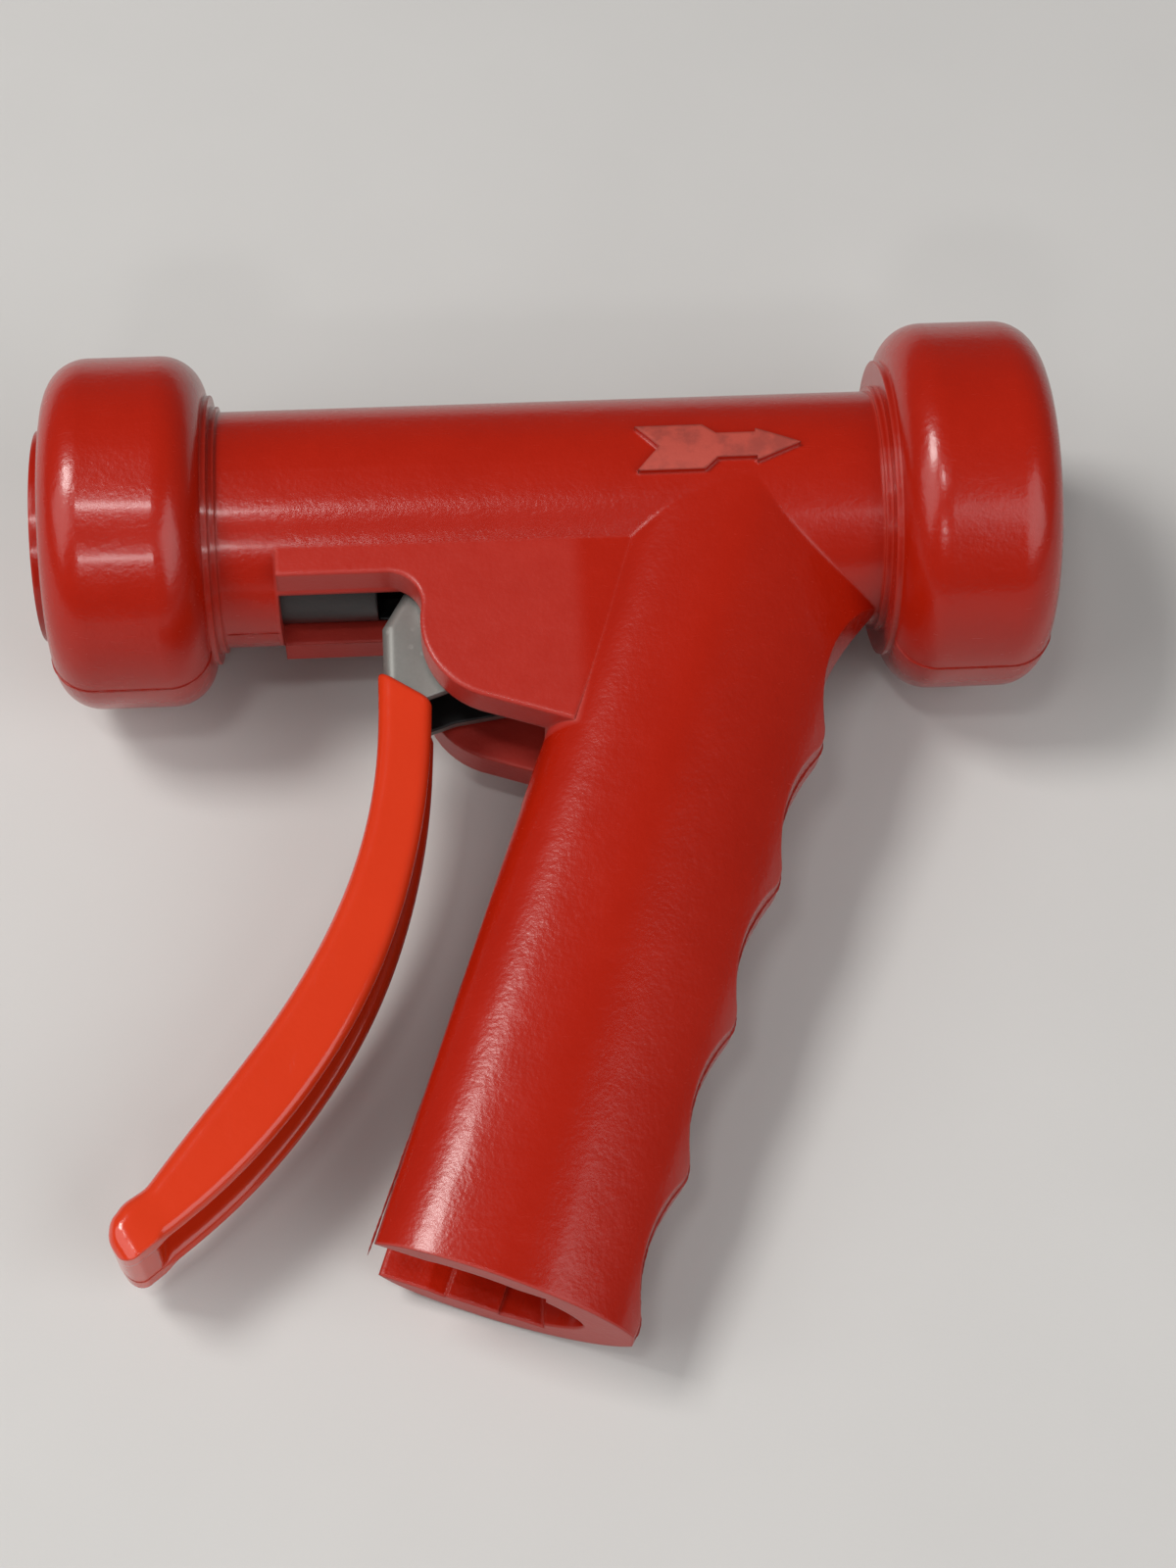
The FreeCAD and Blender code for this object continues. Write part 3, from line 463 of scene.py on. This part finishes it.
def dipped_vinyl():
    """Thick dipped coat: bright orange red, very glossy, slightly wavy, duller where fingers rub."""
    f = Finish("dipped_vinyl")
    cloud = f.noise(32, 3, 0.5)
    wave = f.noise(120, 2, 0.4)
    peel = f.noise(900, 2, 0.5)
    scuff = f.noise(380, 5, 0.7, stretch=(1.5, 0.4, 1.0)).step(0.60, 0.78)
    rounded, edge = f.soft_edges(0.0006)
    red = f.blend(cloud, colour(0.555, 0.030, 0.0070), colour(0.640, 0.042, 0.0100))
    red = f.blend(scuff * 0.20, red, colour(0.50, 0.040, 0.020))
    # painted highlight: the coat's edges are made a lighter orange
    red = f.blend(edge * 0.15, red, colour(0.70, 0.09, 0.04))
    rough = 0.13 + wave * 0.05 + scuff * 0.16
    return f.shade({
        "Base Color": red, "Roughness": rough, "Coat Weight": 0.34 - scuff * 0.2, "Coat Roughness": 0.05,
        "Specular IOR Level": 0.3,
        "Subsurface Weight": 0.06, "Subsurface Scale": 0.001, "Subsurface Radius": (1.0, 0.2, 0.1),
        "Normal": f.bump(wave * 3 + peel * 0.35, 0.22, 0.00030, rounded)})


def metal(name, dark, light, rough, fine, lines, pits=0.0, metallic=1.0, bevel=0.0004,
          inside=False):
    """Bare metal: two shades in clouds, tool marks stretched along given directions, bright pits, and a
    painted highlight that makes the edges brighter. The inside of the lever's channel can be made nearly
    black, a painted shade for the shadow in it."""
    f = Finish(name)
    cloud = f.noise(90, 4, 0.6)
    marks = f.noise(1.0, 3, 0.6, stretch=lines, turned=True)
    speck = f.noise(1900, 3, 0.6)
    dings = f.node("ShaderNodeTexVoronoi", {"feature": "F1"}, {"Vector": f.place(), "Scale": 420})
    ding = dings.step(0.28, 0.10) * f.noise(150, 2).step(0.50, 0.60)
    rounded, edge = f.soft_edges(bevel)
    shade = f.blend(cloud * 0.6 + speck * 0.4, dark, light)
    # painted highlight: edges made brighter; the bright dings mixed in here are real marks
    shade = f.blend(edge * 0.35 + ding * pits, shade, colour(*[min(1.0, c * 1.45) for c in light[:3]]))
    # painted shade: inside the lever's channel the colour is made nearly black and not metallic, for the shadow
    # there
    if inside:
        flow, upright, across = f.parts(f.place(turned=True))
        painted = across.size().sets_in(plate_inside) * flow.sets_in(web_inside)
        shade = f.blend(painted, shade, colour(0.010, 0.010, 0.010))
        metallic = metallic - painted * metallic
    height = marks * fine + speck * 0.25 - ding * pits * 1.5
    return f.shade({
        "Base Color": shade, "Metallic": metallic,
        "Roughness": rough + cloud * 0.10 + marks * 0.08 - edge * 0.05,
        "Normal": f.bump(height, 0.35, 0.00005, rounded)})


def black_casting():
    """Cast metal under thick black paint: orange peel, lumps of the casting, worn grey at its edges."""
    f = Finish("black_casting")
    lumps = f.noise(300, 4, 0.6)
    peel = f.noise(1500, 2, 0.5)
    chips = f.noise(700, 4, 0.7).step(0.60, 0.66)
    rounded, edge = f.soft_edges(0.0007)
    worn = edge * chips
    base = f.blend(lumps, colour(0.0055, 0.0055, 0.0060), colour(0.016, 0.016, 0.017))
    base = f.blend(worn * 0.7, base, colour(0.16, 0.16, 0.155))
    return f.shade({
        "Base Color": base, "Roughness": 0.27 + lumps * 0.16 + worn * 0.1, "Metallic": worn * 0.8,
        "IOR": 1.5, "Normal": f.bump(lumps * 1.4 + peel * 0.5, 0.4, 0.00012, rounded)})


def soft_seal(name, dark, light, rough):
    """Seal or packing: dull, finely speckled, a little greased."""
    f = Finish(name)
    cloud = f.noise(220, 4, 0.6)
    fibre = f.noise(2400, 4, 0.7)
    grease = f.noise(120, 3).step(0.52, 0.66)
    base = f.blend(cloud * 0.6 + fibre * 0.4, dark, light)
    return f.shade({
        "Base Color": base, "Roughness": rough + fibre * 0.12 - grease * 0.18,
        "Normal": f.bump(fibre + cloud, 0.35, 0.00006)})


def studio_cloth():
    """Plain pale ground, faintly cloudy, with a very fine weave."""
    f = Finish("studio_ground")
    cloud = f.noise(9, 4, 0.55)
    weave = f.noise(2600, 2, 0.5)
    base = f.blend(cloud, colour(0.545, 0.535, 0.520), colour(0.620, 0.608, 0.592))
    return f.shade({"Base Color": base, "Roughness": 0.86 + weave * 0.06, "Specular IOR Level": 0.2,
                    "Normal": f.bump(weave, 0.15, 0.0001)})


rubber = moulded_rubber()
casting = black_casting()
turned_marks = (5200, 40, 40)      # rings round the flow axis
drawn_marks = (60, 2600, 2600)     # lines along the flow axis
even_marks = (900, 900, 900)
stainless = metal("stainless", colour(0.36, 0.36, 0.35), colour(0.52, 0.52, 0.50), 0.20, 0.6, turned_marks)
brass = metal("brass", colour(0.42, 0.27, 0.085), colour(0.60, 0.41, 0.15), 0.24, 0.7, turned_marks)
bronze = metal("bronze", colour(0.30, 0.16, 0.065), colour(0.46, 0.27, 0.12), 0.30, 0.6, turned_marks)
spring_steel = metal("spring_steel", colour(0.20, 0.20, 0.20), colour(0.34, 0.34, 0.33), 0.28, 0.4,
                     drawn_marks)
satin_steel = metal("satin_steel", colour(0.185, 0.185, 0.172), colour(0.27, 0.27, 0.252), 0.36, 0.35,
                    even_marks, pits=0.55, metallic=0.55, bevel=0.0008, inside=True)
black_seal = soft_seal("black_seal", colour(0.010, 0.010, 0.010), colour(0.028, 0.027, 0.026), 0.55)
packing = soft_seal("packing", colour(0.30, 0.28, 0.24), colour(0.52, 0.50, 0.45), 0.50)
vinyl = dipped_vinyl()

finish_of_slot = {
    "black_casting": casting, "red_rubber": rubber, "packing": packing, "brass": brass,
    "black_rubber": black_seal, "stainless": stainless, "spring_steel": spring_steel, "bronze": bronze,
    "satin_steel": satin_steel,
    "orange_vinyl": vinyl}
slot_of_node = {row["node"]: row["material_slot"] for row in frame["record"]["subparts"]}
for name, node in frame["nodes"].items():
    node.data.materials.clear()
    node.data.materials.append(finish_of_slot[slot_of_node[name]])

# ---------------------------------------------------------------- made pieces
coat = finish_piece(lever_coat(), "lever", vinyl)
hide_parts("lever_coating")

for name, bumper in (("rear", rear_bumper), ("front", front_bumper)):
    for side_name, side in (("top", 1), ("underside", -1)):
        path, out = bumper_side(bumper, side)
        ridge = bead("flash_" + name + "_" + side_name, path, out, *bumper_flash)
        finish_piece(ridge, "housing", rubber)

straight = {
    "flash_barrel_top": ((25.5, barrel_radius), (142.6, barrel_radius), (0, 1)),
    "flash_barrel_rear": ((27.2, -barrel_radius), (36.6, -barrel_radius), (0, -1)),
    "flash_barrel_front": ((140.7, -barrel_radius), (142.6, -barrel_radius), (0, -1)),
    "flash_grip_back": (grip_point([grip_back], [26.0])[0], grip_point([grip_back], [grip_end - 0.2])[0],
                        grip_point([-1.0], [0.0])[0]),
}
for name, (start, end, out) in straight.items():
    share = np.linspace(0, 1, max(8, int(np.linalg.norm(np.subtract(end, start)) * 1.6)))[:, None]
    path = np.array(start) * (1 - share) + np.array(end) * share
    ridge = bead(name, path, np.tile(out, (len(share), 1)), *seam_flash)
    finish_piece(ridge, "housing", rubber)
path, out = finger_line()
finish_piece(bead("flash_grip_front", path, out, *finger_flash), "housing", rubber)
finish_piece(inlet_thread(), "housing", casting)

# ---------------------------------------------------------------- stage, light and camera
low, high = (Vector(corner) for corner in cad_box)
middle = (low + high) / 2
ground_half = 4.0
ground = bpy.data.objects.new("ground", bpy.data.meshes.new("ground"))
ground.data.from_pydata([(middle.x + x * ground_half, middle.y + y * ground_half, low.z)
                         for x, y in ((-1, -1), (1, -1), (1, 1), (-1, 1))], [], [(0, 1, 2, 3)])
ground.data.materials.append(studio_cloth())
bpy.context.scene.collection.objects.link(ground)


def aimed(place, target, roll=0.0):
    """Turn that looks from a place to a target, rolled about the line of sight."""
    turn = (Vector(target) - Vector(place)).to_track_quat("-Z", "Y")
    return turn @ Matrix.Rotation(roll, 4, "Z").to_quaternion()


def soft_light(name, place, width, height, power, tint=(1.0, 1.0, 1.0), roll=0.0):
    """Rectangular soft light that looks at the middle of the object."""
    lamp = bpy.data.lights.new(name, "AREA")
    lamp.shape, lamp.size, lamp.size_y, lamp.energy, lamp.color = "RECTANGLE", width, height, power, tint
    holder = bpy.data.objects.new(name, lamp)
    bpy.context.scene.collection.objects.link(holder)
    holder.location = place
    holder.rotation_mode = "QUATERNION"
    holder.rotation_quaternion = aimed(place, middle, roll)


soft_light("key", (-0.60, 0.09, 1.20), 0.38, 0.38, 10.0, (1.0, 0.985, 0.965))
soft_light("left_fill", (-0.95, -0.35, 0.95), 1.0, 1.0, 7.0, (1.0, 0.99, 0.98))
soft_light("right_fill", (0.95, -0.85, 0.90), 1.1, 1.1, 9.0, (0.98, 0.99, 1.0))
soft_light("upper_strip", (-0.12, -0.37, 1.167), 0.16, 0.07, 1.5)
soft_light("lower_strip", (-0.118, -0.95, 0.77), 0.16, 0.07, 1.1)

world = bpy.data.worlds.new("studio_air")
world.use_nodes = True
world.node_tree.nodes["Background"].inputs["Color"].default_value = colour(0.80, 0.79, 0.78)
world.node_tree.nodes["Background"].inputs["Strength"].default_value = 0.13
bpy.context.scene.world = world
bpy.context.scene.view_settings.view_transform = "Standard"

camera_lift = math.radians(23.78)      # from square to the nozzle's own plane, towards the grip's end
camera_turn = math.radians(-2.85)      # towards the inlet
camera_roll = math.radians(2.22)
camera_distance = 502.1
camera_target = np.array([88.4, -51.7, 0.0])
backward = np.array([math.sin(camera_turn), -math.sin(camera_lift) * math.cos(camera_turn),
                     math.cos(camera_lift) * math.cos(camera_turn)])
level = np.cross(-backward, (0.0, math.cos(camera_lift), math.sin(camera_lift)))
level = level / np.linalg.norm(level)
steep = np.cross(level, -backward)
rightward = level * math.cos(camera_roll) - steep * math.sin(camera_roll)
upward = steep * math.cos(camera_roll) + level * math.sin(camera_roll)
camera = bpy.data.objects.new("camera", bpy.data.cameras.new("camera"))
camera.data.sensor_width = 36.0
camera.data.lens = 67.5
camera.data.clip_start, camera.data.clip_end = 0.01, 20.0
camera.location = laid(camera_target + backward * camera_distance)
camera.rotation_mode = "QUATERNION"
axes = laid([rightward, upward, backward]) / MM
camera.rotation_quaternion = Matrix(axes.tolist()).transposed().to_quaternion()
bpy.context.scene.collection.objects.link(camera)
bpy.context.scene.camera = camera
